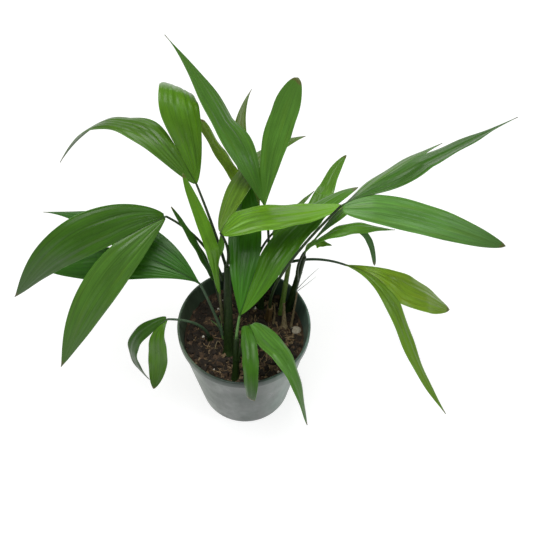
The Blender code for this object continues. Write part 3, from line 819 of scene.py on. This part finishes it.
def join_tubes(name, tubes):
    """One mesh of several tubes that have the same rings and sides."""
    rings, sides = tubes[0].shape[:2]
    faces = []
    for start in range(0, len(tubes) * rings * sides, rings * sides):
        for ring in range(rings - 1):
            for side in range(sides):
                beside = (side + 1) % sides
                low = start + ring * sides
                faces.append((low + side, low + beside, low + sides + beside, low + sides + side))
    mesh = bpy.data.meshes.new(name)
    mesh.from_pydata(np.vstack([tube.reshape(-1, 3) for tube in tubes]).tolist(), [], faces)
    mesh.validate()
    return mesh


def tube_points(line, radii, sides=10):
    """Rings of points round a line, for a lofted tube."""
    line = np.asarray(line, float)
    along = unit(np.gradient(line, axis=0))
    side = unit(np.cross(along, (0.0, 0.31, 0.95)) + 1e-9)
    up = np.cross(side, along)
    angles = np.linspace(0, math.tau, sides, endpoint=False)
    cos, sin = np.cos(angles)[None, :, None], np.sin(angles)[None, :, None]
    ring = cos * side[:, None] + sin * up[:, None]
    return line[:, None] + ring * np.asarray(radii)[:, None, None]


def cane_foot_height():
    return SOIL_TOP + GAP


def cane_share(cane, height):
    return (height - cane_foot_height()) / (cane.top[2] - cane_foot_height())


def cane_radius(cane, height):
    return cane.foot_radius + (cane.top_radius - cane.foot_radius) * cane_share(cane, height)


def cane_centre(cane, height):
    share = cane_share(cane, height)
    across = [foot + (top - foot) * share for foot, top in zip(cane.foot, cane.top)]
    return np.array([*across, height])


def make_cane(name, cane, materials):
    foot = cane_foot_height() - 0.002
    heights = np.linspace(foot, cane.top[2], STEM_ROWS)
    line = np.array([cane_centre(cane, height) for height in heights])
    below_top = cane.top[2] - heights
    to_node = np.abs((below_top + NODE_SPACING / 2) % NODE_SPACING - NODE_SPACING / 2)
    ring = NODE_BULGE * np.clip(1 - to_node / NODE_HEIGHT, 0, 1)
    flare = 1 + (FLARE - 1) * np.clip(1 - (heights - foot) / FLARE_HEIGHT, 0, 1) ** 2
    radii = np.array([cane_radius(cane, height) for height in heights]) * flare + ring
    radii[-1] *= 0.7
    rings = tube_points(line, radii, STEM_SIDES)
    cap = np.repeat(line[-1:, None], STEM_SIDES, axis=1)
    mesh = grid_mesh(name + "_stem", np.concatenate([rings, cap]), closed=True)
    stem = place(name + "_stem", mesh)
    dress(stem, materials[cane.look], CANE_LOOKS[cane.look][2], name)


def stalk_foot(frond):
    cane = CANES[frond.cane]
    if frond.side is None:
        foot = np.array(cane.top) + (0.0, 0.0, GAP)
        return foot, foot + (0.0, 0.0, STALK_LEAD)
    upward = unit(np.array(cane.top) - cane_centre(cane, cane_foot_height()))
    stand_off = cane_radius(cane, frond.height) + STALK_RADIUS / upward[2] + GAP
    foot = cane_centre(cane, frond.height) + direction(frond.side) * stand_off
    return foot, foot + upward * STALK_LEAD


def rib_line(base, lobes):
    share = np.linspace(BLADE_START, 1.0, 99)
    if len(lobes) == 1:
        line, _, _ = lobe_strip(base, lobes[0], share)
        return line[:25]
    line, joined = shared_rib(base, lobes[0], lobes[1], share)
    return line[:max(int(np.argmin(joined)), 6)]


def make_blade(name, base, frond, index, rng):
    share = BLADE_START + (1 - BLADE_START) * np.linspace(0, 1, BLADE_ROWS)
    left, right, side = lobe_edges(base, frond.lobes, index, share)
    width = np.linalg.norm(right - left, axis=1)
    across = (right - left) / width[:, None]
    middle = (left + right) / 2
    normal = unit(np.cross(across, np.gradient(middle, axis=0)))
    columns = np.linspace(0.0, 1.0, BLADE_COLUMNS + 1)
    pleats = max(2, round(frond.lobes[index].width / PLEAT_WIDTH))
    fold = np.zeros_like(columns)
    for spread in PLEAT_SPREADS:
        fold += np.sin(columns * math.tau * pleats * spread + rng.random() * math.tau)
    crown = BLADE_CROWN * width[:, None] * (1 - (2 * columns - 1) ** 2)
    crease = CREASES.get(name, 0.0) * width[:, None] * (1 - np.abs(2 * columns - 1))
    fullest = width / width.max()
    depth = PLEAT_DEPTH * fullest * (1 - PLEAT_FADE * share)
    relief = crown + crease + depth[:, None] * fold[None, :]
    phase = rng.random() * math.tau
    wave = np.sin(share * EDGE_WAVES + phase) * EDGE_WAVE * fullest
    relief += wave[:, None] * (2 * columns - 1) ** 3
    points = left[:, None] + (right - left)[:, None] * columns[None, :, None]
    points = points + normal[:, None] * relief[:, :, None]
    blade = place(name, grid_mesh(name, points))
    shell = blade.modifiers.new("thickness", "SOLIDIFY")
    shell.thickness = LEAF_THICKNESS
    shell.offset = 0.0
    return blade


def make_frond(name, frond, rng, stems):
    foot, start = stalk_foot(frond)
    stalk = bend_points(start, frond.stalk, np.linspace(0.0, 1.0, STALK_ROWS))
    base = stalk[-1]
    slot = LOOK_SLOTS[frond.look]
    radii = STALK_RADIUS * np.linspace(1.15, 0.8, STALK_ROWS + 1)
    tube = tube_points(np.vstack([foot, stalk]), radii)
    stem = place(name + "_stalk", grid_mesh(name + "_stalk", tube, closed=True))
    dress(stem, stems[STALK_LOOKS.get(name, "dark")], slot, name)
    tips = TIP_SHADES.get(name, (TIP_SHADE, TIP_SHADE))
    leaves = [leaf_material(f"{name}_green_{i + 1}", green, tip)
              for i, (green, tip) in enumerate(zip(GREENS[name], tips))]
    rib = np.vstack([base, rib_line(base, frond.lobes)])
    tube = tube_points(rib, np.linspace(STALK_RADIUS * 0.75, RIB_RADIUS * 0.3, len(rib)))
    mid = place(name + "_rib", grid_mesh(name + "_rib", tube, closed=True))
    # The midrib darker than its blades: painted shade in the crease where the lobes meet
    rib_shaded_green = [part * RIB_SHADE for part in GREENS[name][0]]
    dress(mid, leaf_material(f"{name}_rib_shaded", rib_shaded_green, 1.0), slot, name)
    for index, leaf in enumerate(leaves):
        blade_name = f"{name}_blade_{index + 1}"
        blade = make_blade(blade_name, base, frond, index, rng)
        dress(blade, leaf, slot, name)


def make_floor():
    bpy.ops.mesh.primitive_plane_add(size=6.0, location=(0.0, 0.0, 0.0))
    floor = bpy.context.active_object
    floor.name = "floor"
    made = Shader("floor_white", 0.9, Specular_IOR_Level=0.0, Emission_Strength=FLOOR_GLOW)
    made.shader.inputs["Emission Color"].default_value = (1.0, 1.0, 1.0, 1.0)
    place_in = made.node("ShaderNodeTexCoord").outputs["Object"]
    soft = made.noise(place_in, 1.5, 2.0)
    stops = ((0.3, rgba((168, 168, 166))), (0.7, rgba((174, 174, 174))))
    made.link(made.ramp(soft, stops), "Base Color")
    floor.data.materials.append(made.material)


def make_lights():
    world = bpy.data.worlds.new("studio")
    bpy.context.scene.world = world
    world.use_nodes = True
    world.node_tree.nodes["Background"].inputs["Color"].default_value = (1.0, 1.0, 1.0, 1.0)
    world.node_tree.nodes["Background"].inputs["Strength"].default_value = SKY_LIGHT
    for name, (place_at, size, power, colour) in LAMPS.items():
        light = bpy.data.lights.new(name, "AREA")
        light.color = colour
        light.size = size
        light.energy = power
        lamp = bpy.data.objects.new(name, light)
        bpy.context.scene.collection.objects.link(lamp)
        lamp.location = place_at
        aim = Vector(LAMP_AIM) - Vector(place_at)
        lamp.rotation_euler = aim.to_track_quat("-Z", "Y").to_euler()


def make_camera():
    data = bpy.data.cameras.new("camera")
    data.sensor_width = SENSOR
    data.lens = SENSOR * PHOTO_FOCAL / PHOTO_SIDE
    camera = bpy.data.objects.new("camera", data)
    bpy.context.scene.collection.objects.link(camera)
    tilt = Matrix.Rotation(math.radians(90.0 - CAMERA_DOWN), 4, "X")
    roll = Matrix.Rotation(math.radians(CAMERA_ROLL), 4, "Z")
    camera.matrix_world = Matrix.Translation(CAMERA_PLACE) @ tilt @ roll
    bpy.context.scene.camera = camera


def main():
    rng = np.random.default_rng(SEED)
    bpy.context.scene.view_settings.view_transform = "Standard"
    make_camera()
    make_floor()
    make_lights()
    make_pot()
    make_mix_bed(rng)
    make_mix_bits(rng)
    make_fibres(rng)
    make_pale_bits(rng)
    stems = {look: cane_material(look) for look in CANE_LOOKS}
    for name, cane in CANES.items():
        make_cane(name, cane, stems)
    make_strands(stems)
    for name, frond in FRONDS.items():
        make_frond(name, frond, rng, stems)


main()
